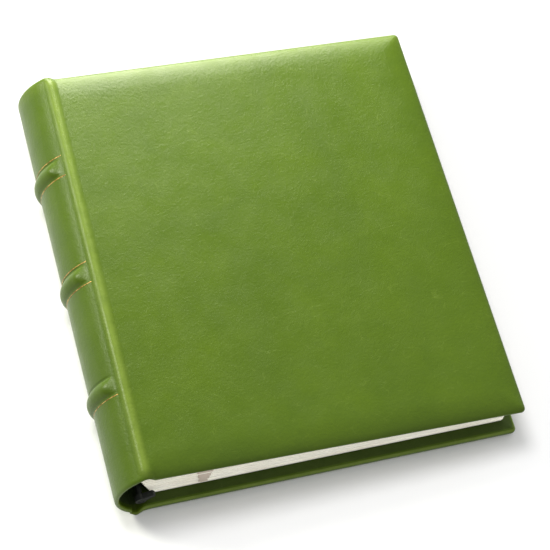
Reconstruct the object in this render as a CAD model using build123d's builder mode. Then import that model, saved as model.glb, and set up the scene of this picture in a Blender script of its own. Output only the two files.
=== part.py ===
"""Ring-bound stamp album: padded leather covers, a rounded spine with raised bands,
an arch-and-post mechanism on the back cover and stock leaves with clear strips.

Frame: +X from the spine to the fore-edge, +Y from tail to head, +Z up. The album lies shut
on its back cover, and the origin is the middle of the box that holds it, on the table.
Lengths are in millimetres. Profiles across the spine use u, measured from the hinge line.
"""

import os
from math import atan2, cos, radians, sin, sqrt, tan

from build123d import *

# ---- whole album -------------------------------------------------------------------------
HEIGHT = 300.0          # tail to head
COVER_W = 261.0         # hinge line to fore-edge
SPINE_T = 57.4          # thickness along the spine
FORE_T = 42.6           # thickness along the fore-edge
BULGE = 14.5            # how far the spine rounds out behind the hinge line
BAND_RISE = 1.8
HINGE_X = (BULGE + BAND_RISE - COVER_W) / 2
SLOPE = atan2(SPINE_T - FORE_T, COVER_W)

# ---- covers: leather, wadding, board and turn-in from the outside in ---------------------
COVER_T = 6.8
LEATHER = 1.0
WADDING = 2.4
BOARD = COVER_T - 2 * LEATHER - WADDING
LINING = 0.8
BACK_START = 8.0        # where the stiff part of each cover begins
FRONT_START = 11.0
TURN_IN = 15.0
CORNER_R = 3.2
EDGE_R = 2.5

# ---- spine -------------------------------------------------------------------------------
# The back of the spine is one arc, from the hinge line on the table to the shoulder on top,
# BULGE behind the hinge line where it stands out most.
SHOULDER_U = 4.5
lean = SHOULDER_U / SPINE_T
half_chord = (SHOULDER_U**2 + SPINE_T**2) / (2 * SPINE_T)
linear = half_chord * lean + BULGE
SPINE_MID_U = (linear - sqrt(linear**2 - lean**2 * (half_chord**2 - BULGE**2))) / lean**2
SPINE_MID_Z = half_chord - lean * SPINE_MID_U
SPINE_R = SPINE_MID_U + BULGE
SPINE_LOW, SPINE_HIGH = -47.5, 54.7    # the stiff part's angles, from straight back
SPINE_BOARD = 1.3
SPINE_LINING = 0.5
BAND_W = 10.0
BAND_LOW, BAND_HIGH = -38.0, 54.0
BAND_PITCH = 81.5
BAND_YS = [-BAND_PITCH, 0.0, BAND_PITCH]
RULE_W = 0.5
RULE_RISE = 0.15
RULE_OFF = 7.5          # gold rule to the middle of its band

# ---- leaves ------------------------------------------------------------------------------
LEAF_COUNT = 21
TURNING = 5             # the top leaves, which turn one by one
LEAF_H = HEIGHT - 2 * 9.1
LEAF_END = COVER_W - 7.2
STACK_FOOT = COVER_T + 0.2
PITCH = 1.37
CARD = 0.8
FILM = 0.3
CREASE_U = 46.0
CREASE_HALF = 4.0       # the stub and the leaf stop this far from the crease
LINEN_HALF = 6.5
HOLE_R = 2.6
HOLE_EDGE = 12.0        # hole centre to the leaf's binding edge
LEAF_CORNER_R = 1.2
STRIPS = 7
STRIP_PITCH = 38.0
STRIP_H = 33.0
STRIP_U = 62.0
STRIP_END = LEAF_END - 7.0

# ---- mechanism ---------------------------------------------------------------------------
RING_YS = [-108.0, 0.0, 108.0]
WIRE_R = 1.75
PLATE_T = 1.4
PLATE_TOP = COVER_T
PLATE_U, PLATE_END = 10.0, 36.0
PLATE_H = 260.0
POST_FOOT_U = 24.6      # where a post's middle meets the plate
POST_LEAN = radians(19.5)
POST_TOP_Z = 35.6
SHAFT_U, SHAFT_Z = 4.0, 12.5
SHAFT_R = 2.0
SHAFT_FIT = 0.05
SHAFT_LEN = 294.0
COLLAR_R = 3.4
COLLAR_W = 7.0
ARCH_SHOULDER = (-0.8, 35.0)
ARCH_TIP = (14.3, 36.7)
BRACKET_W = 6.0
BRACKET_YS = [-126.0, -54.0, 54.0, 126.0]
LEVER_W = 4.0
LEVER_TIP = (13.4, 16.6)
RIVET_R = 1.6
RIVET_HEAD_R = 2.8
RIVET_HEAD_T = 0.7
RIVET_YS = [-81.0, -27.0, 27.0, 81.0]
RIVET_U = 30.5


def save(part, name):
    """Label a finished piece and write it."""
    part.label = name
    export_step(part, f"parts/{name}.step")


def section():
    """The plane across the spine with u = 0 on the hinge line; its normal is -Y."""
    return Plane(origin=(HINGE_X, 0, 0), x_dir=(1, 0, 0), z_dir=(0, -1, 0))


def section_at(y):
    return section().offset(-y)


def placed(point, y):
    """The point of the album at (u, z) across the spine, y along it."""
    return Vector(HINGE_X + point.X, y, point.Y)


def arc_point(angle, radius):
    """A point (u, z) on a circle about the spine's axis; 0 degrees is the back of the spine."""
    a = radians(angle)
    return (SPINE_MID_U - radius * cos(a), SPINE_MID_Z + radius * sin(a))


def sector(inner_r, outer_r, low, high):
    """Sketch a slice of a ring about the spine's axis in the current sketch."""
    middle = (low + high) / 2
    with BuildLine() as rim:
        ThreePointArc(arc_point(low, outer_r), arc_point(middle, outer_r), arc_point(high, outer_r))
        Line(arc_point(high, outer_r), arc_point(high, inner_r))
        ThreePointArc(arc_point(high, inner_r), arc_point(middle, inner_r), arc_point(low, inner_r))
        Line(arc_point(low, inner_r), arc_point(low, outer_r))
    make_face(rim.edges())


def hole_u(z):
    """Middle of a leaf's punched holes at height z, on the leaning posts."""
    return POST_FOOT_U - (z - PLATE_TOP) * tan(POST_LEAN)


def leaf_z(n):
    """Underside of leaf n, counted from the bottom of the stack."""
    return STACK_FOOT + n * PITCH


def leaf_blank(z, start_u, end_u, punched):
    """One card with its underside at z, punched if it reaches the posts."""
    with BuildSketch(Plane.XY.offset(z)) as card:
        with Locations((HINGE_X + (start_u + end_u) / 2, 0)):
            Rectangle(end_u - start_u, LEAF_H)
        if end_u == LEAF_END:
            fillet(card.vertices().group_by(Axis.X)[-1], LEAF_CORNER_R)
        if punched:
            with Locations([(HINGE_X + hole_u(z + CARD / 2), y) for y in RING_YS]):
                Circle(HOLE_R, mode=Mode.SUBTRACT)
    extrude(card.sketch, amount=CARD)


def strip_row(z):
    """The clear strips on one leaf, on top of its card."""
    with BuildSketch(Plane.XY.offset(z + CARD)) as film:
        with Locations((HINGE_X + (STRIP_U + STRIP_END) / 2, 0)):
            with GridLocations(1, STRIP_PITCH, 1, STRIPS):
                Rectangle(STRIP_END - STRIP_U, STRIP_H)
    extrude(film.sketch, amount=FILM)


def linen(z):
    """The cloth hinge over one leaf's crease."""
    with BuildSketch(Plane.XY.offset(z + CARD)) as cloth:
        with Locations((HINGE_X + CREASE_U, 0)):
            Rectangle(2 * LINEN_HALF, LEAF_H)
    extrude(cloth.sketch, amount=FILM)


def cover_slab(plane, begin, depth, thickness, inset, mode=Mode.ADD):
    """One layer of a cover, from depth inwards; inset from the tail, head and fore-edge."""
    end = COVER_W - inset
    with BuildSketch(plane.offset(depth)) as slab:
        with Locations(((begin + end) / 2, 0)):
            Rectangle(end - begin, HEIGHT - 2 * inset)
        fillet(slab.vertices().group_by(Axis.X)[-1], max(CORNER_R - inset, 1.0))
    extrude(slab.sketch, amount=thickness, mode=mode)


def make_cover(side, plane, begin, fitted):
    """Leather case, wadding, board and lining of one cover; fitted takes the mechanism."""
    with BuildPart() as leather:
        cover_slab(plane, begin, 0, COVER_T, 0)
        outer = leather.faces().sort_by(lambda f: (f.center() - plane.origin).dot(plane.z_dir))[0]
        hinge_edge = outer.edges().sort_by(lambda e: (e.center() - plane.origin).dot(plane.x_dir))[0]
        fillet([e for e in outer.edges() if e != hinge_edge], EDGE_R)
        cover_slab(plane, begin, LEATHER, WADDING + BOARD, LEATHER, Mode.SUBTRACT)
        cover_slab(plane, begin, COVER_T - LEATHER, LEATHER, TURN_IN, Mode.SUBTRACT)
    save(leather.part, f"{side}_leather")

    with BuildPart() as wadding:
        cover_slab(plane, begin, LEATHER, WADDING, LEATHER)
    save(wadding.part, f"{side}_wadding")

    with BuildPart() as board:
        cover_slab(plane, begin, LEATHER + WADDING, BOARD, LEATHER)
        if fitted:
            plate_seat()
            with Locations([(HINGE_X + RIVET_U, y, COVER_T) for y in RIVET_YS]):
                Hole(RIVET_R)
    save(board.part, f"{side}_board")

    with BuildPart() as lining:
        cover_slab(plane, begin, COVER_T - LEATHER, LINING, TURN_IN)
        if fitted:
            plate_seat()
    save(lining.part, f"{side}_lining")


def plate_seat():
    """Cut the shallow pocket that the mechanism's plate is let into."""
    with BuildSketch(Plane.XY.offset(PLATE_TOP - PLATE_T)) as seat:
        with Locations((HINGE_X + (PLATE_U + PLATE_END) / 2, 0)):
            Rectangle(PLATE_END - PLATE_U, PLATE_H)
    extrude(seat.sketch, amount=2 * PLATE_T, mode=Mode.SUBTRACT)


os.makedirs("parts", exist_ok=True)

# ---- covers ------------------------------------------------------------------------------
back_plane = Plane(origin=(HINGE_X, 0, 0), x_dir=(1, 0, 0), z_dir=(0, 0, 1))
front_plane = Plane(
    origin=(HINGE_X, 0, SPINE_T),
    x_dir=(cos(SLOPE), 0, -sin(SLOPE)),
    z_dir=(-sin(SLOPE), 0, -cos(SLOPE)),
)
make_cover("back", back_plane, BACK_START, fitted=True)
make_cover("front", front_plane, FRONT_START, fitted=False)

# ---- spine -------------------------------------------------------------------------------
board_out = SPINE_R - LEATHER
board_in = board_out - SPINE_BOARD
with BuildPart() as spine_leather:
    with BuildSketch(section()):
        sector(board_in, SPINE_R, SPINE_LOW, SPINE_HIGH)
    extrude(amount=HEIGHT / 2, both=True)
    with BuildSketch(section()):
        sector(board_in, board_out, SPINE_LOW, SPINE_HIGH)
    extrude(amount=HEIGHT / 2 - LEATHER, both=True, mode=Mode.SUBTRACT)
save(spine_leather.part, "spine_leather")

with BuildPart() as spine_board:
    with BuildSketch(section()):
        sector(board_in, board_out, SPINE_LOW, SPINE_HIGH)
    extrude(amount=HEIGHT / 2 - LEATHER, both=True)
save(spine_board.part, "spine_board")

with BuildPart() as spine_lining:
    with BuildSketch(section()):
        sector(board_in - SPINE_LINING, board_in, SPINE_LOW, SPINE_HIGH)
    extrude(amount=HEIGHT / 2, both=True)
save(spine_lining.part, "spine_lining")

# Each raised band is a half-round cord under the leather, bent around the spine.
for number, band_y in enumerate(BAND_YS, start=1):
    with BuildPart() as band:
        with BuildSketch(section_at(band_y)):
            sector(SPINE_R, SPINE_R + BAND_RISE, BAND_LOW, BAND_HIGH)
        extrude(amount=BAND_W / 2, both=True)
        crown = band.edges().filter_by(GeomType.CIRCLE).group_by(lambda e: e.radius)[-1]
        fillet(crown, BAND_RISE * 0.8)
    save(band.part, f"raised_band_{number}")

with BuildPart() as gold_rules:
    for band_y in BAND_YS:
        for side in (-1, 1):
            with BuildSketch(section_at(band_y + side * RULE_OFF)):
                sector(SPINE_R, SPINE_R + RULE_RISE, BAND_LOW, BAND_HIGH)
            extrude(amount=RULE_W / 2, both=True)
save(gold_rules.part, "gold_rules")

# The supple leather between the spine and each cover, where the case bends.
cover_top = Vector(FRONT_START * cos(SLOPE), SPINE_T - FRONT_START * sin(SLOPE))
cover_under = cover_top - Vector(sin(SLOPE), cos(SLOPE)) * LEATHER
with BuildPart() as front_joint:
    with BuildSketch(section()):
        with BuildLine():
            outer = arc_point(SPINE_HIGH, SPINE_R)
            inner = arc_point(SPINE_HIGH, board_out)
            ThreePointArc(outer, (SHOULDER_U, SPINE_T - 0.3), cover_top)
            Line(cover_top, cover_under)
            ThreePointArc(cover_under, (SHOULDER_U + 0.3, SPINE_T - 0.3 - LEATHER), inner)
            Line(inner, outer)
        make_face()
    extrude(amount=HEIGHT / 2, both=True)
save(front_joint.part, "front_joint_leather")

with BuildPart() as back_joint:
    with BuildSketch(section()):
        with BuildLine():
            outer = arc_point(SPINE_LOW, SPINE_R)
            inner = arc_point(SPINE_LOW, board_out)
            ThreePointArc(outer, (-1.3, 0.9), (1.5, 0.1))
            Line((1.5, 0.1), (BACK_START, 0.1))
            Line((BACK_START, 0.1), (BACK_START, LEATHER))
            Line((BACK_START, LEATHER), (1.7, LEATHER))
            ThreePointArc((1.7, LEATHER), (-0.7, 1.7), inner)
            Line(inner, outer)
        make_face()
    extrude(amount=HEIGHT / 2, both=True)
save(back_joint.part, "back_joint_leather")

# ---- ring mechanism: fixed half ----------------------------------------------------------
with BuildPart() as base_plate:
    with BuildSketch(Plane.XY.offset(PLATE_TOP - PLATE_T)):
        with Locations((HINGE_X + (PLATE_U + PLATE_END) / 2, 0)):
            Rectangle(PLATE_END - PLATE_U, PLATE_H)
    extrude(amount=PLATE_T)
    with Locations([(HINGE_X + RIVET_U, y, PLATE_TOP) for y in RIVET_YS]):
        CounterBoreHole(RIVET_R, RIVET_HEAD_R, RIVET_HEAD_T)
save(base_plate.part, "base_plate")

with BuildPart() as plate_rivets:
    rivet_foot = LEATHER + WADDING
    with BuildSketch(Plane.XY.offset(rivet_foot)):
        with Locations([(HINGE_X + RIVET_U, y) for y in RIVET_YS]):
            Circle(RIVET_R)
    extrude(amount=PLATE_TOP - rivet_foot)
    with BuildSketch(Plane.XY.offset(PLATE_TOP)):
        with Locations([(HINGE_X + RIVET_U, y) for y in RIVET_YS]):
            Circle(RIVET_HEAD_R)
    extrude(amount=-RIVET_HEAD_T)
save(plate_rivets.part, "plate_rivets")

post_dir = Vector(-sin(POST_LEAN), 0, cos(POST_LEAN))
for number, ring_y in enumerate(RING_YS, start=1):
    foot = Vector(HINGE_X + POST_FOOT_U, ring_y, PLATE_TOP)
    run_in = 2 * WIRE_R
    length = (POST_TOP_Z - PLATE_TOP) / cos(POST_LEAN) + run_in
    with BuildPart() as post:
        with BuildSketch(Plane(origin=foot - post_dir * run_in, z_dir=post_dir)):
            Circle(WIRE_R)
        extrude(amount=length)
        chamfer(post.faces().sort_by(Axis.Z)[-1].edges(), WIRE_R / 3)
        split(bisect_by=Plane.XY.offset(PLATE_TOP))
    save(post.part, f"post_{number}")

with BuildPart() as shaft_brackets:
    for bracket_y in BRACKET_YS:
        with BuildSketch(section_at(bracket_y)):
            with BuildLine():
                Polyline(
                    (PLATE_U + 0.2, PLATE_TOP), (12.0, PLATE_TOP), (10.6, 11.0), (8.8, 16.2),
                    (2.0, 16.2), (0.3, SHAFT_Z), (2.0, 8.8), (PLATE_U + 0.2, 8.2), close=True,
                )
            make_face()
            with Locations((SHAFT_U, SHAFT_Z)):
                Circle(SHAFT_R + SHAFT_FIT, mode=Mode.SUBTRACT)
        extrude(amount=BRACKET_W / 2, both=True)
save(shaft_brackets.part, "shaft_brackets")

# ---- ring mechanism: rocking half --------------------------------------------------------
with BuildPart() as rocker_shaft:
    with BuildSketch(section()):
        with Locations((SHAFT_U, SHAFT_Z)):
            Circle(SHAFT_R)
    extrude(amount=SHAFT_LEN / 2, both=True)
    chamfer(rocker_shaft.edges().filter_by(GeomType.CIRCLE), 0.4)
save(rocker_shaft.part, "rocker_shaft")

# The leg runs straight up from the shaft, then a round arch carries on to the post's top.
shoulder = Vector(*ARCH_SHOULDER)
leg = (shoulder - Vector(SHAFT_U, SHAFT_Z)).normalized()
leg_foot = Vector(SHAFT_U, SHAFT_Z) + leg * (SHAFT_R + 0.6)
tip = Vector(*ARCH_TIP)
span = tip - shoulder
inward = Vector(leg.Y, -leg.X)
arch_r = span.dot(span) / (2 * span.dot(inward))
crown = shoulder + inward * arch_r + Vector(0, arch_r)
for number, ring_y in enumerate(RING_YS, start=1):
    plane = section_at(ring_y)
    with BuildPart() as arch:
        with BuildLine():
            limb = Line(placed(leg_foot, ring_y), placed(shoulder, ring_y))
            ThreePointArc(limb @ 1, placed(crown, ring_y), placed(tip, ring_y))
        with BuildSketch(Plane(origin=limb @ 0, z_dir=limb % 0)):
            Circle(WIRE_R)
        sweep()
        with BuildSketch(plane):
            with Locations((SHAFT_U, SHAFT_Z)):
                Circle(COLLAR_R)
        extrude(amount=COLLAR_W / 2, both=True)
        with BuildSketch(plane):
            with Locations((SHAFT_U, SHAFT_Z)):
                Circle(SHAFT_R)
        extrude(amount=COLLAR_W, both=True, mode=Mode.SUBTRACT)
    save(arch.part, f"arch_{number}")

for name, end in (("tail", -1), ("head", 1)):
    lever_y = end * (SHAFT_LEN / 2 - LEVER_W / 2)
    with BuildPart() as lever:
        with BuildSketch(section_at(lever_y)):
            with Locations((SHAFT_U, SHAFT_Z)):
                Circle(COLLAR_R + 0.4)
            with BuildLine():
                Polyline(
                    (SHAFT_U, SHAFT_Z - COLLAR_R), LEVER_TIP, (LEVER_TIP[0] - 1.6, LEVER_TIP[1] + 2.2),
                    (SHAFT_U, SHAFT_Z + COLLAR_R), close=True,
                )
            make_face()
            with Locations((SHAFT_U, SHAFT_Z)):
                Circle(SHAFT_R, mode=Mode.SUBTRACT)
        extrude(amount=LEVER_W / 2, both=True)
        chamfer(lever.faces().filter_by(Axis.Y).edges().filter_by(GeomType.LINE), 0.4)
    save(lever.part, f"thumb_lever_{name}")

# ---- leaves that stay on the back cover --------------------------------------------------
fixed = LEAF_COUNT - TURNING
with BuildPart() as lower_leaves:
    for n in range(fixed):
        leaf_blank(leaf_z(n), hole_u(leaf_z(n)) - HOLE_EDGE, LEAF_END, punched=True)
save(lower_leaves.part, "lower_leaves")

with BuildPart() as lower_strips:
    for n in range(fixed):
        strip_row(leaf_z(n))
save(lower_strips.part, "lower_strips")

with BuildPart() as lower_linens:
    for n in range(fixed):
        linen(leaf_z(n))
save(lower_linens.part, "lower_linen_hinges")

# ---- turning leaves, counted from the top ------------------------------------------------
for number in range(1, TURNING + 1):
    z = leaf_z(LEAF_COUNT - number)
    with BuildPart() as stub:
        leaf_blank(z, hole_u(z) - HOLE_EDGE, CREASE_U - CREASE_HALF, punched=True)
    save(stub.part, f"leaf_stub_{number}")

    with BuildPart() as leaf:
        leaf_blank(z, CREASE_U + CREASE_HALF, LEAF_END, punched=False)
    save(leaf.part, f"leaf_{number}")

    with BuildPart() as strips:
        strip_row(z)
    save(strips.part, f"leaf_strips_{number}")

    with BuildPart() as hinge:
        linen(z)
    save(hinge.part, f"linen_hinge_{number}")
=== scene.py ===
"""Looks of the stamp album: one skin of padded leather over the front cover and spine, another over
the back cover, card leaves with clear strips, and a small steel ring mechanism.

Sections across the spine use u (millimetres from the hinge line towards the fore-edge), z and y.
"""

import random
from math import atan2, cos, degrees, hypot, pi, radians, sin, sqrt, tan

import bmesh
import bpy
from mathutils import Matrix, Vector


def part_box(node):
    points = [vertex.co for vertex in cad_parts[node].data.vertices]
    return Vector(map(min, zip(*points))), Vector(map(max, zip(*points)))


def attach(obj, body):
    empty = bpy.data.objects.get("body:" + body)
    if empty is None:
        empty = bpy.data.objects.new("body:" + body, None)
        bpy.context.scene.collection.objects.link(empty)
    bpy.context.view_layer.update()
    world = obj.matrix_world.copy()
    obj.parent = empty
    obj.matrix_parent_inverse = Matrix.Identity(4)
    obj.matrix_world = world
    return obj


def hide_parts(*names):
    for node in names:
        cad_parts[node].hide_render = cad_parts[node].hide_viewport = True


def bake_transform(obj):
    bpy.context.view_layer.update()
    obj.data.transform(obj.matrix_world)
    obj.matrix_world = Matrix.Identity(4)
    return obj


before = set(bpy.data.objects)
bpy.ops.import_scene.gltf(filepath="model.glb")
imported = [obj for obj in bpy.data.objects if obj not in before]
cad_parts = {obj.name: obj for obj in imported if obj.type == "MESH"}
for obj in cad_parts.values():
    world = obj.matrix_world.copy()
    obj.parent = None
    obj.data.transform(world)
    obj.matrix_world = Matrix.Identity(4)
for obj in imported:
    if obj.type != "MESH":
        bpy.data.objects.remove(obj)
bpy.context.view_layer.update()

# ---- driving dimensions, in millimetres --------------------------------------------------
MM = 0.001

# The closed album, as in the CAD.
COVER_W = 261.0  # hinge line to fore-edge
SPINE_T = 57.4  # thickness at the spine
FORE_T = 42.6  # thickness at the fore-edge
COVER_T = 6.8  # one padded cover
BULGE = 14.5  # how far the spine stands out behind the hinge line
SHOULDER_U = 4.5
SHOULDER_R = 6.5
CORNER_R = 3.2
SPINE_LOW = -47.5  # degrees below straight back where the spine's arc ends
CREASE_END = 2.6  # where the bend under the spine meets the flat underside

# The leather skin.
SPINE_SHELL = 2.8
JOINT_SHELL = 2.2
CREASE_SHELL = 1.3
BACK_START = 8.0  # where the stiff part of the back cover begins
FRONT_START = 11.0  # where the stiff part of the front cover begins
TURN_IN = 15.0  # leather turned in over the covers' edges
SPINE_TURN = 5.0  # leather turned in over the spine's ends
TURN_STEP = 0.4  # width of the step down from the turned-in leather to the endpaper
LINING_STEP = 0.95  # the endpaper sits this far below the turned-in leather
UNDER_R = 2.4  # largest rounding of an inner edge
SLACK = 0.2  # play allowed when a column is compared with a line
STIFF_T = COVER_T - 0.3  # a skin thicker than this is over board
CREASE_FLARE = 1.3  # how far the back skin widens at the ends of its crease
FLARE_RUN = 5.0  # the flare fades out over this distance from the hinge line
HEAD_REACH = 1.1  # how far the front skin reaches past the back cover at the head
REACH_RUN = 30.0  # the reach grows over this distance from the head
END_RUN = 12.0  # the same for the flare and the pale roll
MITRE_RISE = 0.45
MITRE_HALF = 1.3
MITRE_START = 1.5  # distance from the edge
RIPPLE = 0.07
RIPPLE_FREE = 4.0  # no ripple this close to an edge

# Rolled edges: width, share of the thickness that the roll takes up, and sharpness. The rest of
# the thickness rounds the inner edge.
BARE_ROLL = (2.0, 0.5)
FRONT_ROLL = (21.0, 0.56, 2.0)
BACK_ROLL = (5.0, 0.72, 2.4)

# Painted highlights on the leather, standing in for light caught by the inner rims, the shoulder's welt and
# the rolled head edge: how pale (0 to 1) and where, as a distance from the edge.
RIM = 2.0
RIM_HIGHLIGHT_AMOUNT = 0.9
RIM_HIGHLIGHT_SPAN = (0.2, 1.3)
BEAD_HIGHLIGHT_AMOUNT = 0.78
ROLL_HIGHLIGHT_AMOUNT = 0.3

# Raised bands, the welt along the shoulder, and the gold rules.
BAND_PITCH = 81.5
BAND_HALF = 5.4
BAND_RISE = 2.7
BAND_POWER = 0.75  # below 1 gives a band a fuller crown than a parabola
BAND_FOOT_FADE = (-44, -37)  # degrees on the arc between which a band grows
BAND_TOP_FADE = (40, 57)  # and between which it ends
FOOT_W = 1.8  # the hollow at the foot of a band
FOOT_DEPTH = 0.4
BEAD_U = 5.8
BEAD_SKEW = 0.008  # shift across the cover for each millimetre along the spine
BEAD_HALF = 5.0
BEAD_RISE = 1.2
RULE_OFF = 7.6
RULE_W = 0.7
RULE_ARC = (-40.0, 60.0)  # degrees on the arc where a rule starts and ends
RULE_RISE = 0.05  # the foil's face, above the leather
RULE_SUNK = -0.1  # its underside, within the leather

# Leaves, clear strips and linen tapes.
LEAF_COUNT = 21
TURNING = 5
CARD = 1.05  # thickness drawn; the CAD card is thinner
CARD_CAD = 0.8
CARD_SEED = 40  # added to a leaf's number to seed how it is cut
CUT_LONGER = (-0.35, 0.3)
CUT_SHIFT_Y = (-0.25, 0.25)
CUT_SHIFT_U = (-0.5, 0.2)
FILM = 0.2
FILM_GAP = 0.03  # the underside of a strip, above the card
FILM_SUNK = 0.02  # how far the glue draws both its faces down
FILM_OPEN = 0.04  # how far it stands open along its top
STRIPS = 7
STRIP_H = 33.0
TAPE_TOP_LEAF = (40.5, 53.5)  # where the tape starts and ends on the top leaf
TAPE_BOTTOM_LEAF = (44.5, 48.5)  # and at the foot of the stack
TAPE_UNEVEN = 0.5
TAPE_PROUD = 0.42  # how far a tape folds past the card's ends
TAPE_FOLD = 0.05  # how much further it stands out halfway up the card
TAPE_TOP = 0.16  # above the card's upper face
TAPE_BOTTOM = -0.04  # below its lower face

BOARD_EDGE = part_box("back_leather")[1]
HALF = BOARD_EDGE.y / MM
HINGE_X = BOARD_EDGE.x / MM - COVER_W
LEAF_LOW, LEAF_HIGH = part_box("leaf_1")
LEAF_HALF = LEAF_HIGH.y / MM
LEAF_END = LEAF_HIGH.x / MM - HINGE_X
LEAF_START = LEAF_LOW.x / MM - HINGE_X
STACK_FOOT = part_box("lower_leaves")[0].z / MM
PITCH = (LEAF_LOW.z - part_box("leaf_2")[0].z) / MM
STRIP_LOW, STRIP_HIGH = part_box("leaf_strips_1")
STRIP_U = STRIP_LOW.x / MM - HINGE_X
STRIP_END = STRIP_HIGH.x / MM - HINGE_X
STRIP_PITCH = (STRIP_HIGH.y / MM * 2 - STRIP_H) / (STRIPS - 1)
SLOPE = atan2(SPINE_T - FORE_T, COVER_W)
BANDS = (-BAND_PITCH, 0.0, BAND_PITCH)


def at(u, y, z):
    """A point of the album, in metres, from section coordinates in millimetres."""
    return Vector(((HINGE_X + u) * MM, y * MM, z * MM))


def smooth(low, high, value):
    """0 before low, 1 after high and a smooth step between."""
    t = min(max((value - low) / (high - low), 0.0), 1.0)
    return t * t * (3 - 2 * t)


def mix(a, b, t):
    return a + (b - a) * t


# ---- mesh helpers ------------------------------------------------------------------------
def mesh_object(name, verts, faces, materials, indices=None, is_smooth=True, painted_highlight=None):
    """A mesh piece from lists of vertices and faces.

    indices gives each face its material; the per-vertex list gives how much painted highlight the leather
    gets at each vertex.
    """
    mesh = bpy.data.meshes.new(name)
    mesh.from_pydata([tuple(v) for v in verts], [], faces)
    for material in materials:
        mesh.materials.append(material)
    if indices:
        mesh.polygons.foreach_set("material_index", indices)
    mesh.polygons.foreach_set("use_smooth", [is_smooth] * len(mesh.polygons))
    if painted_highlight:
        mesh.attributes.new("painted_highlight", "FLOAT", "POINT").data.foreach_set("value", painted_highlight)
    tidy = bmesh.new()
    tidy.from_mesh(mesh)
    bmesh.ops.remove_doubles(tidy, verts=tidy.verts, dist=2e-6)
    bmesh.ops.dissolve_degenerate(tidy, edges=tidy.edges, dist=1e-6)
    bmesh.ops.recalc_face_normals(tidy, faces=tidy.faces)
    tidy.to_mesh(mesh)
    tidy.free()
    piece = bpy.data.objects.new(name, mesh)
    bpy.context.scene.collection.objects.link(piece)
    return piece


def grid_faces(rows, cols, start=0):
    """Quads over a grid of rows by cols vertices, numbered from start."""
    return [
        (at_row + j, at_row + j + 1, at_row + cols + j + 1, at_row + cols + j)
        for at_row in range(start, start + (rows - 1) * cols, cols)
        for j in range(cols - 1)
    ]


def tube_faces(rows, cols, start=0):
    """Quads and end caps of a closed tube: rows loops of cols vertices, numbered from start."""
    last = start + (rows - 1) * cols
    faces = [
        (at_row + j, at_row + (j + 1) % cols, at_row + cols + (j + 1) % cols, at_row + cols + j)
        for at_row in range(start, last, cols)
        for j in range(cols)
    ]
    return faces + [tuple(range(start + cols - 1, start - 1, -1)), tuple(range(last, last + cols))]


def steps(low, high, size):
    """Evenly spaced values from low to high, no further apart than size."""
    count = max(1, int((high - low) / size + 0.999))
    return [low + (high - low) * n / count for n in range(count + 1)]


# ---- procedural materials ----------------------------------------------------------------
class Nodes:
    """A short way to write a node material over object coordinates."""

    def __init__(self, name):
        self.material = bpy.data.materials.new(name)
        self.material.use_nodes = True
        self.tree = self.material.node_tree
        self.shader = self.tree.nodes["Principled BSDF"]
        self.coords = self.tree.nodes.new("ShaderNodeTexCoord").outputs["Object"]

    def link(self, source, target):
        self.tree.links.new(source, target)

    def scaled(self, scale):
        """Object coordinates stretched by three factors."""
        node = self.tree.nodes.new("ShaderNodeMapping")
        node.inputs["Scale"].default_value = scale
        self.link(self.coords, node.inputs["Vector"])
        return node.outputs["Vector"]

    def noise(self, scale, detail=4.0, rough=0.55, distortion=0.0, vector=None):
        node = self.tree.nodes.new("ShaderNodeTexNoise")
        node.inputs["Scale"].default_value = scale
        node.inputs["Detail"].default_value = detail
        node.inputs["Roughness"].default_value = rough
        node.inputs["Distortion"].default_value = distortion
        self.link(vector or self.coords, node.inputs["Vector"])
        return node.outputs["Fac"]

    def cells(self, scale, vector=None):
        """Distance to the nearest border between cells."""
        node = self.tree.nodes.new("ShaderNodeTexVoronoi")
        node.feature = "DISTANCE_TO_EDGE"
        node.inputs["Scale"].default_value = scale
        self.link(vector or self.coords, node.inputs["Vector"])
        return node.outputs["Distance"]

    def waves(self, scale, distortion, direction):
        node = self.tree.nodes.new("ShaderNodeTexWave")
        node.bands_direction = direction
        node.inputs["Scale"].default_value = scale
        node.inputs["Distortion"].default_value = distortion
        node.inputs["Detail"].default_value = 3.0
        self.link(self.coords, node.inputs["Vector"])
        return node.outputs["Fac"]

    def ranged(self, value, low, high, to_low=0.0, to_high=1.0):
        """A value moved from the range low to high into the range to_low to to_high."""
        node = self.tree.nodes.new("ShaderNodeMapRange")
        node.inputs["From Min"].default_value = low
        node.inputs["From Max"].default_value = high
        node.inputs["To Min"].default_value = to_low
        node.inputs["To Max"].default_value = to_high
        self.link(value, node.inputs["Value"])
        return node.outputs["Result"]

    def maths(self, operation, a, b):
        node = self.tree.nodes.new("ShaderNodeMath")
        node.operation = operation
        for socket, value in zip(node.inputs, (a, b)):
            if isinstance(value, (int, float)):
                socket.default_value = value
            else:
                self.link(value, socket)
        return node.outputs["Value"]

    def blend(self, factor, dark, light):
        """A colour between two, each an (r, g, b) or another colour socket."""
        node = self.tree.nodes.new("ShaderNodeMix")
        node.data_type = "RGBA"
        self.link(factor, node.inputs["Factor"])
        for socket, value in ((node.inputs[6], dark), (node.inputs[7], light)):
            if isinstance(value, tuple):
                socket.default_value = (*value, 1.0)
            else:
                self.link(value, socket)
        return node.outputs[2]

    def pointiness(self):
        return self.tree.nodes.new("ShaderNodeNewGeometry").outputs["Pointiness"]

    def bump(self, height, strength, distance, below=None):
        """A bump of the height socket, laid over the normal of the bump below."""
        node = self.tree.nodes.new("ShaderNodeBump")
        node.inputs["Strength"].default_value = strength
        node.inputs["Distance"].default_value = distance
        self.link(height, node.inputs["Height"])
        if below:
            self.link(below, node.inputs["Normal"])
        return node.outputs["Normal"]

    def finish(self, colour=None, roughness=None, normal=None, **sockets):
        """Connects or sets the shader's sockets; a name in sockets has _ for each space."""
        for name, value in sockets.items():
            self.shader.inputs[name.replace("_", " ")].default_value = value
        for name, value in (("Base Color", colour), ("Roughness", roughness), ("Normal", normal)):
            if isinstance(value, (int, float)):
                self.shader.inputs[name].default_value = value
            elif value is not None:
                self.link(value, self.shader.inputs[name])
        return self.material


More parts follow.
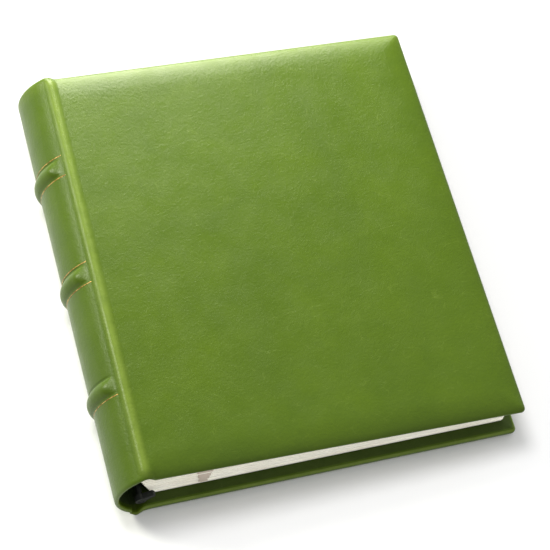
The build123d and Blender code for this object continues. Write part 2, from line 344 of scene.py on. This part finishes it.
def leather(name, deep, full, light, roughness):
    """Smooth grained leather: cloudy colour, a fine pebble, hairline creases, paler rubbed ridges and
    painted highlights from a vertex attribute.
    """
    n = Nodes(name)
    clouds = n.ranged(n.noise(22.0, detail=6.0, rough=0.62, distortion=0.4), 0.34, 0.66)
    toned = n.blend(clouds, deep, full)
    hairs = n.cells(130.0, vector=n.scaled((0.7, 1.0, 1.0)))
    broken = n.ranged(n.noise(120.0, detail=5.0, rough=0.7), 0.52, 0.62)
    creases = n.maths("MULTIPLY", n.ranged(hairs, 0.0, 0.03, 1.0, 0.0), broken)
    creased = n.blend(n.maths("MULTIPLY", creases, 0.3), toned, light)
    wear = n.ranged(n.pointiness(), 0.52, 0.60, 0.0, 0.4)
    flecks = n.ranged(n.noise(330.0, detail=6.0, rough=0.7, distortion=0.8), 0.35, 0.65, 0.0, 0.5)
    flecked = n.blend(flecks, creased, deep)
    # Painted highlight: a vertex attribute lightens the leather where light would catch the welt, the head
    # roll and the rims, broken up by noise.
    drawn_grain_and_painted_highlight = n.tree.nodes.new("ShaderNodeAttribute")
    drawn_grain_and_painted_highlight.attribute_name = "painted_highlight"
    patchy = n.ranged(n.noise(150.0, detail=4.0), 0.25, 0.6, 0.6, 1.0)
    pale = n.maths("MULTIPLY", drawn_grain_and_painted_highlight.outputs["Fac"], patchy)
    colour = n.blend(n.maths("MAXIMUM", wear, pale), flecked, light)
    pebble = n.ranged(n.cells(1000.0), 0.0, 0.35)
    hollows = n.noise(230.0, detail=6.0, rough=0.68)
    fine = n.bump(pebble, 0.10, 0.0001)
    grained = n.bump(n.noise(560.0, detail=4.0, rough=0.65), 0.45, 0.0004, below=fine)
    medium = n.bump(hollows, 0.3, 0.0005, below=grained)
    normal = n.bump(creases, 0.15, 0.0002, below=medium)
    shine = n.ranged(n.noise(60.0, detail=5.0), 0.3, 0.7, roughness - 0.05, roughness + 0.08)
    return n.finish(colour, shine, normal, Specular_IOR_Level=0.25)


WAVE_BANDS = 3.2  # bands that the wave texture draws over one unit at scale 1


def cloth(name, dark, light, pitch):
    """A plain woven cloth; pitch is the spacing of its threads in metres."""
    n = Nodes(name)
    scale = 1 / pitch / WAVE_BANDS
    warp = n.waves(scale, 0.6, "X")
    weft = n.waves(scale, 0.6, "Y")
    weave = n.maths("MULTIPLY", warp, weft)
    uneven = n.ranged(n.noise(60.0), 0.3, 0.7)
    colour = n.blend(n.maths("MULTIPLY", weave, uneven), dark, light)
    return n.finish(colour, 0.85, n.bump(weave, 0.4, 0.0002), Specular_IOR_Level=0.2)


def lining_paper():
    """Dark green endpaper: long fibres and faint clouds."""
    n = Nodes("endpaper")
    fibres = n.noise(300.0, detail=6.0, vector=n.scaled((1.0, 0.3, 1.0)))
    clouds = n.noise(16.0)
    colour = n.blend(n.ranged(clouds, 0.35, 0.65), (0.016, 0.03, 0.005), (0.026, 0.046, 0.009))
    return n.finish(colour, 0.6, n.bump(fibres, 0.12, 0.0003), Specular_IOR_Level=0.3)


def card_stock():
    """Cream leaf card: soft mottling, fibres and a layered look on its cut edges."""
    n = Nodes("leaf_card")
    fibres = n.noise(900.0, detail=5.0, vector=n.scaled((0.25, 1.0, 4.0)))
    mottle = n.noise(45.0, detail=3.0)
    layers = n.noise(700.0, detail=2.0, vector=n.scaled((0.05, 0.05, 1.0)))
    warm = n.blend(n.ranged(mottle, 0.3, 0.7), (0.86, 0.83, 0.72), (0.93, 0.91, 0.82))
    edged = n.blend(n.ranged(layers, 0.38, 0.5, 0.35, 0.0), warm, (0.80, 0.76, 0.66))
    rough = n.ranged(fibres, 0.3, 0.7, 0.6, 0.78)
    return n.finish(edged, rough, n.bump(fibres, 0.18, 0.0002), Specular_IOR_Level=0.25)


def clear_film():
    """Thin clear film, glossy and faintly rippled."""
    n = Nodes("clear_film")
    ripple = n.noise(30.0, detail=2.0, vector=n.scaled((0.2, 1.0, 1.0)))
    colour = n.blend(n.ranged(ripple, 0.3, 0.7), (0.86, 0.88, 0.88), (0.94, 0.95, 0.94))
    shine = n.ranged(n.noise(300.0), 0.3, 0.7, 0.05, 0.12)
    return n.finish(colour, shine, n.bump(ripple, 0.1, 0.0006), Alpha=0.28, IOR=1.5)


def metal(name, dark, light, roughness, metallic, grain):
    """Plated or painted steel with a lengthwise grain from the drawing die and handling marks."""
    n = Nodes(name)
    drawn_grain_and_painted_highlight = n.noise(grain, detail=3.0, vector=n.scaled((1.0, 0.05, 1.0)))
    marks = n.noise(90.0, detail=6.0, rough=0.7)
    colour = n.blend(n.ranged(marks, 0.35, 0.7), dark, light)
    shine = n.ranged(drawn_grain_and_painted_highlight, 0.3, 0.7, roughness - 0.06, roughness + 0.1)
    return n.finish(colour, shine, n.bump(drawn_grain_and_painted_highlight, 0.08, 0.0001), Metallic=metallic, Specular_IOR_Level=0.2)


def gold_foil():
    """Blocked foil, rubbed through to red-brown leather in places."""
    n = Nodes("gold_foil")
    foil_wear_and_painted_rim_highlight = n.ranged(n.noise(520.0, detail=4.0, rough=0.65), 0.42, 0.6)
    colour = n.blend(foil_wear_and_painted_rim_highlight, (0.20, 0.065, 0.012), (0.74, 0.44, 0.14))
    shine = n.ranged(foil_wear_and_painted_rim_highlight, 0.0, 1.0, 0.5, 0.28)
    return n.finish(colour, shine, n.bump(foil_wear_and_painted_rim_highlight, 0.3, 0.0001), Metallic=0.75)


def board():
    """Grey book board with short fibres."""
    n = Nodes("grey_board")
    fibres = n.noise(500.0, detail=5.0)
    colour = n.blend(fibres, (0.30, 0.27, 0.22), (0.46, 0.42, 0.35))
    return n.finish(colour, 0.85, n.bump(fibres, 0.3, 0.0003))


GREEN = leather("green_leather", (0.051, 0.094, 0.0005), (0.066, 0.115, 0.001), (0.145, 0.21, 0.025), 0.33)
# The turned-in leather is the green leather painted darker: painted shade for the insides of the case.
TURNED_IN_SHADED = leather("turned_in_leather_painted_shade", (0.030, 0.056, 0.001), (0.042, 0.072, 0.002), (0.09, 0.13, 0.02), 0.5)
ENDPAPER = lining_paper()
CARD_STOCK = card_stock()
FILM_CLEAR = clear_film()
LINEN = cloth("linen", (0.50, 0.42, 0.35), (0.72, 0.63, 0.54), 0.0006)
DARK_STEEL = metal("dark_steel", (0.006, 0.007, 0.006), (0.016, 0.018, 0.015), 0.55, 0.0, 900.0)
BRIGHT_STEEL = metal("plated_steel", (0.55, 0.55, 0.56), (0.80, 0.80, 0.81), 0.16, 1.0, 1400.0)
RIVET_STEEL = metal("rivet_steel", (0.42, 0.42, 0.42), (0.62, 0.62, 0.62), 0.34, 1.0, 1100.0)
GOLD = gold_foil()
GREY_BOARD = board()

CAD_FINISHES = {
    "back_lining": ENDPAPER, "front_lining": ENDPAPER,
    "back_board": GREY_BOARD, "front_board": GREY_BOARD, "spine_board": GREY_BOARD,
    "base_plate": DARK_STEEL, "shaft_brackets": DARK_STEEL, "plate_rivets": RIVET_STEEL,
    "thumb_lever_tail": DARK_STEEL, "thumb_lever_head": DARK_STEEL, "rocker_shaft": DARK_STEEL,
    "arch_1": BRIGHT_STEEL, "arch_2": BRIGHT_STEEL, "arch_3": BRIGHT_STEEL,
    "post_1": BRIGHT_STEEL, "post_2": BRIGHT_STEEL, "post_3": BRIGHT_STEEL,
}
for node, finish_material in CAD_FINISHES.items():
    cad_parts[node].data.materials.clear()
    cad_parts[node].data.materials.append(finish_material)


# ---- the leather case --------------------------------------------------------------------
# The back of the spine is one arc from the hinge line on the table to the shoulder on top. Its
# middle is as far from both as from the spine's hindmost point, which gives a quadratic in MID_U.
LEAN = SHOULDER_U / SPINE_T
BISECTOR_Z = (SHOULDER_U**2 + SPINE_T**2) / (2 * SPINE_T)
HALF_LINEAR = BISECTOR_Z * LEAN + BULGE
MID_U = (HALF_LINEAR - sqrt(HALF_LINEAR**2 - LEAN**2 * (BISECTOR_Z**2 - BULGE**2))) / LEAN**2
MID_Z = BISECTOR_Z - LEAN * MID_U
SPINE_R = MID_U + BULGE

# A station is (place, normal, to_fore, angle): a point (u, z) of the section's outline and its
# outward normal. On a cover, to_fore is the distance to the fore-edge, and it is None on the
# spine. On the round parts, the spine and shoulder, angle is in degrees; it is None elsewhere.


def arc_station(angle, radius=SPINE_R, mid=(MID_U, MID_Z)):
    """Place and outward normal on a round part of the case; 0 degrees faces straight back."""
    a = radians(angle)
    normal = (-cos(a), sin(a))
    return (mid[0] + radius * normal[0], mid[1] + radius * normal[1]), normal


def shoulder_leave():
    """The angle where the spine's arc turns into the smaller arc of the shoulder."""
    low, high = 30.0, 89.0
    for _ in range(40):
        angle = (low + high) / 2
        place, _normal = arc_station(angle, SPINE_R - SHOULDER_R)
        room = (SPINE_T - tan(SLOPE) * place[0] - place[1]) * cos(SLOPE)
        low, high = (angle, high) if room > SHOULDER_R else (low, angle)
    return angle


def front_stations():
    """Stations over the spine, shoulder and front cover."""
    leave = shoulder_leave()
    stations = [(*arc_station(a), None, a) for a in steps(SPINE_LOW, leave, 1.6)]
    centre, _normal = arc_station(leave, SPINE_R - SHOULDER_R)
    flat = 90.0 + degrees(SLOPE)
    shoulder = steps(leave, flat, 3.0)[1:]
    stations += [(*arc_station(a, SHOULDER_R, centre), None, a) for a in shoulder]
    (u, z), normal = stations[-1][0], stations[-1][1]
    along = u * cos(SLOPE) - (z - SPINE_T) * sin(SLOPE)
    for x in run_to_edge(along):
        place = (x * cos(SLOPE), SPINE_T - x * sin(SLOPE))
        stations.append((place, normal, COVER_W - x, None))
    return stations


def run_to_edge(begin):
    """Distances along a cover from begin to its fore-edge, close together where the shape turns."""
    edge = [COVER_W - d for d in (14, 11, 8.5, 6.5, 5, 3.8, 2.8, 2, 1.3, 0.75, 0.35, 0.1, 0.0)]
    near = steps(begin, begin + 14.0, 0.7)[1:]
    middle = near + steps(near[-1], COVER_W - TURN_IN - TURN_STEP, 4.0)[1:]
    return middle + [COVER_W - TURN_IN] + edge


def back_stations():
    """Stations from the foot of the spine under the back cover to its fore-edge."""
    foot, _normal = arc_station(SPINE_LOW)
    down = (sin(radians(-SPINE_LOW)), -cos(radians(-SPINE_LOW)))
    bend = (foot[0] - foot[1] * down[0] / down[1], 0.0)
    end = (CREASE_END, 0.0)
    stations = []
    for t in steps(0.0, 1.0, 0.1):
        u = (1 - t) ** 2 * foot[0] + 2 * t * (1 - t) * bend[0] + t * t * end[0]
        z = (1 - t) ** 2 * foot[1] + 2 * t * (1 - t) * bend[1] + t * t * end[1]
        du = (1 - t) * (bend[0] - foot[0]) + t * (end[0] - bend[0])
        dz = (1 - t) * (bend[1] - foot[1]) + t * (end[1] - bend[1])
        stations.append(((u, z), (dz / hypot(du, dz), -du / hypot(du, dz)), None, None))
    flat = steps(end[0], BACK_START + 1, 0.9)[1:] + run_to_edge(BACK_START + 1)
    return stations + [((x, 0.0), (0.0, -1.0), COVER_W - x, None) for x in flat]


def y_columns():
    """Values of y along the spine from tail to head, close together at the ends and bands."""
    from_edge = (0, 0.08, 0.3, 0.7, 1.2, 1.9, 2.8, 3.8, 5, 6.5, 8.5, 11, 14, TURN_IN, TURN_IN + TURN_STEP)
    inner = {round(HALF - d, 3) for d in from_edge}
    for band in BANDS:
        inner |= {round(abs(band + d), 3) for d in steps(-9.0, 9.0, 0.6)}
    inner |= {round(y, 3) for y in steps(0.0, HALF - TURN_IN - 3, 4.5)}
    positive = sorted(v for v in inner if v >= 0)
    kept = [positive[0]]
    for value in positive[1:]:
        if value - kept[-1] > 0.25 or value > HALF - 1.0:
            kept.append(value)
    return [-v for v in reversed(kept) if v > 0] + kept


def roll(distance, width, height, power):
    """How far a padded surface has rolled down at a distance from the edge."""
    if distance >= width:
        return 0.0
    share = 1 - max(distance, 0.0) / width
    return height * (1 - (1 - share**power) ** (1 / power))


def band_height(y, angle):
    """Rise of the leather over the raised bands at one place on the spine."""
    if angle is None:
        return 0.0
    fade = smooth(*BAND_FOOT_FADE, angle) * (1 - smooth(*BAND_TOP_FADE, angle))
    for band in BANDS:
        across = abs(y - band)
        if across < BAND_HALF:
            return fade * BAND_RISE * (1 - (across / BAND_HALF) ** 2) ** BAND_POWER
        if across < BAND_HALF + FOOT_W:
            return -fade * FOOT_DEPTH * sin((across - BAND_HALF) / FOOT_W * pi)
    return 0.0


def bead_height(u, y):
    """Rise of the welt along the shoulder, which runs a little off the line of the spine."""
    across = abs(u - BEAD_U - BEAD_SKEW * y)
    return BEAD_RISE * (1 - (across / BEAD_HALF) ** 2) ** 2 if across < BEAD_HALF else 0.0


def edge_distance(y, to_fore):
    """Distance from a cover's outline, which has rounded corners at the fore-edge."""
    side = HALF - abs(y)
    if to_fore is None:
        return side
    if side < CORNER_R and to_fore < CORNER_R:
        return CORNER_R - hypot(CORNER_R - side, CORNER_R - to_fore)
    return min(side, to_fore)


def mitre(side, to_fore):
    """Height of the folded seam where the turned-in leather meets at a corner."""
    off = abs(side - to_fore) if to_fore is not None else MITRE_HALF
    if off >= MITRE_HALF or not MITRE_START < side < TURN_IN:
        return 0.0
    return MITRE_RISE * (1 - (off / MITRE_HALF) ** 2)


def half_height(to_fore):
    """Half the cover's height, head to tail, which is less at the rounded corners."""
    if to_fore is None or to_fore >= CORNER_R:
        return HALF
    return HALF - CORNER_R + sqrt(max(CORNER_R**2 - (CORNER_R - to_fore) ** 2, 0.0))


def case_piece(name, stations, shell_at, pad_at, is_front):
    """A closed skin over the stations: an outer padded face, and an inner face with its turned-in leather.

    is_front, True or False, is for the skin over the front cover and spine, which has the welt,
    the ripple and the longer reach at the head.
    """
    columns = y_columns()
    rows, cols = len(stations), len(columns)
    outer, inner, papered, rims, drawn_grain_and_painted_highlight, foil_wear_and_painted_rim_highlight = [], [], [], [], [], []
    for (u, z), normal, to_fore, angle in stations:
        shell = shell_at(u, to_fore)
        width, share, power = pad_at(u, to_fore)
        reach = half_height(to_fore)
        at_corner = to_fore is not None and to_fore < CORNER_R
        stiff = to_fore is not None and shell > STIFF_T
        bare = TURN_IN if stiff else SPINE_TURN
        under_r = min(UNDER_R, shell * (1 - share))
        flare = CREASE_FLARE * max(0.0, 1 - abs(u) / FLARE_RUN) * (1 - is_front)
        for column in columns:
            y = column * reach / HALF if at_corner else column
            y += HEAD_REACH * is_front * smooth(HALF - REACH_RUN, HALF, column)
            y += flare * smooth(HALF - END_RUN, HALF, abs(column)) * (1 if column > 0 else -1)
            gap = edge_distance(column * min(reach / HALF, 1.0), to_fore)

            ripple = 0.0 if gap < RIPPLE_FREE else leather_ripple(u, y) * is_front
            welt = bead_height(u, y) * is_front * smooth(0, 6, gap)
            rise = band_height(y, angle) + welt - roll(gap, width, shell - under_r, power) + ripple
            outer.append(at(u + normal[0] * rise, y, z + normal[1] * rise))
            # Painted highlight over the welt and along the rolled head edge, stored per vertex.
            rolled = ROLL_HIGHLIGHT_AMOUNT * smooth(HALF - END_RUN, HALF - 2, column) * is_front
            drawn_grain_and_painted_highlight.append(min(1.0, BEAD_HIGHLIGHT_AMOUNT * welt / BEAD_RISE + rolled))

            paper = (to_fore is None or to_fore > TURN_IN - SLACK) and abs(y) < HALF - bare + SLACK
            depth = -(shell - roll(gap, under_r, under_r, 2.0)) + (LINING_STEP if paper and stiff else 0.0)
            depth -= mitre(HALF - abs(column), to_fore)
            inner.append(at(u + normal[0] * depth, y, z + normal[1] * depth))
            papered.append(paper)
            rims.append(gap < RIM)
            # Painted highlight along the inner rims of the back cover and of the spine's ends.
            gets_rim_highlight = to_fore is None or not is_front
            foil_wear_and_painted_rim_highlight.append(RIM_HIGHLIGHT_AMOUNT if gets_rim_highlight and RIM_HIGHLIGHT_SPAN[0] < gap < RIM_HIGHLIGHT_SPAN[1] else 0.0)

    faces = grid_faces(rows, cols) + grid_faces(rows, cols, rows * cols)
    indices = [0] * ((rows - 1) * (cols - 1))
    for i in range(rows - 1):
        for j in range(cols - 1):
            corners = (i * cols + j, i * cols + j + 1, (i + 1) * cols + j, (i + 1) * cols + j + 1)
            if all(papered[c] for c in corners):
                indices.append(2)
            else:
                indices.append(0 if any(rims[c] for c in corners) else 1)
    for j in range(cols - 1):
        faces.append((j, rows * cols + j, rows * cols + j + 1, j + 1))
        indices.append(0)
    # The second finish is the leather with painted shade, for inner faces that are neither endpaper nor
    # rim.
    finishes = [GREEN, TURNED_IN_SHADED, ENDPAPER]
    return mesh_object(name, outer + inner, faces, finishes, indices, painted_highlight=drawn_grain_and_painted_highlight + foil_wear_and_painted_rim_highlight)


def leather_ripple(u, y):
    """The faint unevenness of leather drawn over wadding; the divisors keep it from repeating."""
    return RIPPLE * sin(u / 17 + 1.3 * sin(y / 31)) * cos(y / 23 + 0.9 * sin(u / 41))


def front_shell(u, to_fore):
    """Thickness of the case over the spine, shoulder and front cover."""
    thin = mix(SPINE_SHELL, JOINT_SHELL, smooth(-3, 3, u))
    return thin if to_fore is None else mix(thin, COVER_T, smooth(FRONT_START - 5, FRONT_START, u))


def front_pad(u, to_fore):
    """Width, share and sharpness of the rolled edge over the spine and front cover."""
    t = 0.0 if to_fore is None else smooth(2, 16, u)
    width, share, power = FRONT_ROLL
    return mix(BARE_ROLL[0], width, t), mix(BARE_ROLL[1], share, t), power


def back_shell(u, _to_fore):
    """Thickness of the back cover, thinning to bare leather at its hinge."""
    return mix(CREASE_SHELL, COVER_T, smooth(0.0, BACK_START, u))


def back_pad(u, _to_fore):
    """Width, share and sharpness of the rolled edge of the back cover, which is less padded."""
    width, share, power = BACK_ROLL
    return mix(BARE_ROLL[0], width, smooth(2, 12, u)), mix(BARE_ROLL[1], share, smooth(0, 10, u)), power


front_case = case_piece("front_case", front_stations(), front_shell, front_pad, True)
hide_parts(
    "front_leather", "front_wadding", "front_joint_leather", "spine_leather", "spine_lining",
    "raised_band_1", "raised_band_2", "raised_band_3",
)
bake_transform(front_case)

back_case = case_piece("back_case", back_stations(), back_shell, back_pad, False)
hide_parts("back_leather", "back_wadding", "back_joint_leather")
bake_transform(back_case)


# ---- gold rules --------------------------------------------------------------------------
def gold_rules():
    """Blocked lines each side of the bands, a little uneven, ending before the shoulder."""
    angles = steps(*RULE_ARC, 1.0)
    verts, faces = [], []
    for band in BANDS:
        for side in (-1, 1):
            start = len(verts)
            centre = band + side * RULE_OFF
            for angle in angles:
                (u, z), normal = arc_station(angle)
                taper = smooth(-40, -34, angle) * (1 - smooth(57, 60, angle))
                half = RULE_W / 2 * (0.35 + 0.65 * taper) * (1 + 0.12 * sin(angle * 0.7 + centre))
                flat = half * 0.6
                line = ((-half, RULE_SUNK), (-flat, RULE_RISE), (flat, RULE_RISE), (half, RULE_SUNK))
                for across, lift in line:
                    verts.append(at(u + normal[0] * lift, centre + across, z + normal[1] * lift))
            faces += tube_faces(len(angles), len(line), start)
    return mesh_object("gold_rule_foil", verts, faces, [GOLD])


rules = gold_rules()
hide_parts("gold_rules")
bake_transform(rules)


# ---- leaves ------------------------------------------------------------------------------
def leaf_z(n):
    """Underside of leaf n, counted from the bottom."""
    return STACK_FOOT + n * PITCH


def cut_cards(name, node, body):
    """The cards of one CAD node at the thickness of the real stock, each cut a little unevenly."""
    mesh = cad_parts[node].data.copy()
    mesh.name = name
    mesh.materials.clear()
    mesh.materials.append(CARD_STOCK)
    for vertex in mesh.vertices:
        z = vertex.co.z / MM
        number = int((z - STACK_FOOT + 0.1) / PITCH)
        chance = random.Random(CARD_SEED + number)
        longer = chance.uniform(*CUT_LONGER) / LEAF_HALF
        shift_y, shift_u = chance.uniform(*CUT_SHIFT_Y), chance.uniform(*CUT_SHIFT_U)
        y = vertex.co.y / MM * (1 + longer) + shift_y
        u = vertex.co.x / MM - HINGE_X
        u += shift_u * smooth(LEAF_START + 5, LEAF_END, u)
        foot = leaf_z(number)
        vertex.co = at(u, y, foot + (z - foot) * CARD / CARD_CAD)
    piece = bpy.data.objects.new(name, mesh)
    bpy.context.scene.collection.objects.link(piece)
    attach(piece, body)
    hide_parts(node)


def joined(name, parts, material, is_smooth=False):
    """One piece of one material from several (verts, faces) pairs."""
    verts, faces = [], []
    for part_verts, part_faces in parts:
        faces += [tuple(i + len(verts) for i in face) for face in part_faces]
        verts += part_verts
    return mesh_object(name, verts, faces, [material], is_smooth=is_smooth)


def strip_sheets(z):
    """The clear strips of one leaf: glued along the foot, a little open along the top."""
    parts = []
    us = steps(STRIP_U, STRIP_END, 12.0)
    for n in range(STRIPS):
        foot = (n - (STRIPS - 1) / 2) * STRIP_PITCH - STRIP_H / 2
        ys = steps(foot, foot + STRIP_H, 3.0)
        verts = []
        for skin in (FILM_GAP, FILM):
            for y in ys:
                open_up = FILM_OPEN * smooth(foot + 6, foot + STRIP_H, y)
                for u in us:
                    middle = sin(pi * (u - STRIP_U) / (STRIP_END - STRIP_U))
                    verts.append(at(u, y, z + CARD + skin - FILM_SUNK + open_up * middle))
        rows, cols = len(ys), len(us)
        top = rows * cols
        faces = [tuple(reversed(f)) for f in grid_faces(rows, cols)] + grid_faces(rows, cols, top)
        rim = list(range(cols)) + [r * cols + cols - 1 for r in range(1, rows)]
        rim += [top - cols + c for c in range(cols - 2, -1, -1)]
        rim += [r * cols for r in range(rows - 2, 0, -1)]
        faces += [(a, b, b + top, a + top) for a, b in zip(rim, rim[1:] + rim[:1])]
        parts.append((verts, faces))
    return parts


def linen_sheet(z, seed):
    """Cloth tape over a leaf's crease, folded round the tail and head edges of the card.

    The tapes get narrower from the top leaf to the bottom one.
    """
    chance = random.Random(seed)
    top_leaf = leaf_z(LEAF_COUNT - 1)
    depth = (top_leaf - z) / (top_leaf - STACK_FOOT)
    start, end = (
        mix(upper, lower, depth) + chance.uniform(-TAPE_UNEVEN, TAPE_UNEVEN)
        for upper, lower in zip(TAPE_TOP_LEAF, TAPE_BOTTOM_LEAF)
    )
    half = LEAF_HALF + TAPE_PROUD
    us = steps(start, end, 0.8)
    over = CARD + TAPE_TOP
    loop = [(-half, TAPE_BOTTOM), (half, TAPE_BOTTOM), (half + TAPE_FOLD, CARD / 2)]
    loop += [(half, over), (-half, over), (-half - TAPE_FOLD, CARD / 2)]
    verts = [at(u, y, z + lift) for u in us for y, lift in loop]
    return verts, tube_faces(len(us), len(loop))


FIXED = LEAF_COUNT - TURNING
cut_cards("lower_leaf_cards", "lower_leaves", "back_cover")

lower_strips = [strip for n in range(FIXED) for strip in strip_sheets(leaf_z(n))]
lower_film = joined("lower_clear_strips", lower_strips, FILM_CLEAR)
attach(lower_film, "back_cover")
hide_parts("lower_strips")

# The two bottom leaves show no tape.
lower_tapes = [linen_sheet(leaf_z(n), n) for n in range(2, FIXED)]
lower_cloth = joined("lower_linen_tapes", lower_tapes, LINEN)
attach(lower_cloth, "back_cover")
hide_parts("lower_linen_hinges")

for number in range(1, TURNING + 1):
    n = LEAF_COUNT - number
    z = leaf_z(n)
    cut_cards(f"stub_card_{number}", f"leaf_stub_{number}", "back_cover")
    cut_cards(f"leaf_card_{number}", f"leaf_{number}", f"leaf_{number}")

    film = joined(f"clear_strips_{number}", strip_sheets(z), FILM_CLEAR)
    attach(film, f"leaf_{number}")
    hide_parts(f"leaf_strips_{number}")

    tape = joined(f"linen_tape_{number}", [linen_sheet(z, n)], LINEN, is_smooth=True)
    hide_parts(f"linen_hinge_{number}")
    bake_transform(tape)


# ---- floor, light and camera -------------------------------------------------------------
def area_light(name, place, aim, size, power, colour=(1.0, 1.0, 1.0), only=None):
    """A round soft light; only lists the pieces it falls on, and None is all of them."""
    light = bpy.data.lights.new(name, "AREA")
    light.shape = "DISK"
    light.size = size
    light.energy = power
    light.color = colour
    lamp = bpy.data.objects.new(name, light)
    lamp.location = place
    lamp.rotation_euler = (Vector(aim) - Vector(place)).to_track_quat("-Z", "Y").to_euler()
    bpy.context.scene.collection.objects.link(lamp)
    if only:
        lit = bpy.data.collections.new(f"lit_by_{name}")
        for piece in only:
            lit.objects.link(piece)
        lamp.light_linking.receiver_collection = lit


def pale_floor():
    """A wide white floor that isn't part of the album."""
    n = Nodes("pale_floor")
    colour = n.blend(n.noise(3.0), (0.93, 0.93, 0.93), (0.95, 0.95, 0.95))
    n.finish(colour, 0.9, Specular_IOR_Level=0.0)
    size = 6.0
    corners = [(-size, -size, 0), (size, -size, 0), (size, size, 0), (-size, size, 0)]
    floor = mesh_object("floor", corners, [(0, 1, 2, 3)], [n.material], is_smooth=False)
    return floor


def studio_world():
    """White surroundings, brightest overhead and behind and dim low down in front."""
    world = bpy.data.worlds.new("studio")
    world.use_nodes = True
    tree = world.node_tree
    towards = tree.nodes.new("ShaderNodeTexCoord").outputs["Generated"]
    dot = tree.nodes.new("ShaderNodeVectorMath")
    dot.operation = "DOT_PRODUCT"
    dot.inputs[1].default_value = (0.0, 0.35, 0.94)
    tree.links.new(towards, dot.inputs[0])
    level = tree.nodes.new("ShaderNodeMapRange")
    for socket, value in (("From Min", -0.35), ("From Max", 0.9), ("To Min", 0.35), ("To Max", 0.82)):
        level.inputs[socket].default_value = value
    tree.links.new(dot.outputs["Value"], level.inputs["Value"])
    tree.links.new(level.outputs["Result"], tree.nodes["Background"].inputs["Strength"])
    tree.nodes["Background"].inputs["Color"].default_value = (1.0, 1.0, 1.0, 1.0)
    bpy.context.scene.world = world


def photo_camera():
    """A camera at the photograph's angle: turned, tilted, and rolled about its own axis."""
    azimuth, elevation, roll_angle = radians(-26.5), radians(61.6), radians(13.1)
    aim, distance = Vector((0.0112, -0.0004, 0.0)), 1.433
    ahead = Vector((-sin(azimuth) * cos(elevation), cos(azimuth) * cos(elevation), -sin(elevation)))
    level = Vector((cos(azimuth), sin(azimuth), 0.0))
    upright = level.cross(ahead)
    across = level * cos(roll_angle) + upright * sin(roll_angle)
    upward = upright * cos(roll_angle) - level * sin(roll_angle)
    camera = bpy.data.objects.new("camera", bpy.data.cameras.new("camera"))
    camera.data.lens = 136.4
    camera.data.sensor_width = 36.0
    turned = Matrix((across, upward, -ahead)).transposed().to_4x4()
    camera.matrix_world = Matrix.Translation(aim - ahead * distance) @ turned
    bpy.context.scene.collection.objects.link(camera)
    bpy.context.scene.camera = camera


floor = pale_floor()
studio_world()
photo_camera()
bpy.context.scene.view_settings.view_transform = "Standard"

# The key light falls on everything. The others fall on some pieces only, so that leather, page
# block and floor are each exposed as in the photograph.
skins = [front_case, back_case, rules]
inside = [o for o in bpy.context.scene.objects if o.type == "MESH" and o not in (*skins, floor)]
area_light("key", (-0.82, 0.46, 0.70), (-0.1, 0.05, 0.05), size=0.36, power=8.0, colour=(1.0, 1.0, 0.85))
area_light(
    "back", (0.04, 0.80, 0.40), (0.0, 0.1, 0.05), size=0.68, power=22.0, colour=(1.0, 1.0, 0.82), only=skins
)
area_light("fill", (0.9, -0.8, 1.8), (0.0, 0.0, 0.0), size=1.6, power=30.0, only=inside)
area_light("top", (-0.35, 0.45, 1.9), (0.0, 0.0, 0.0), size=0.7, power=18.0, only=[floor])
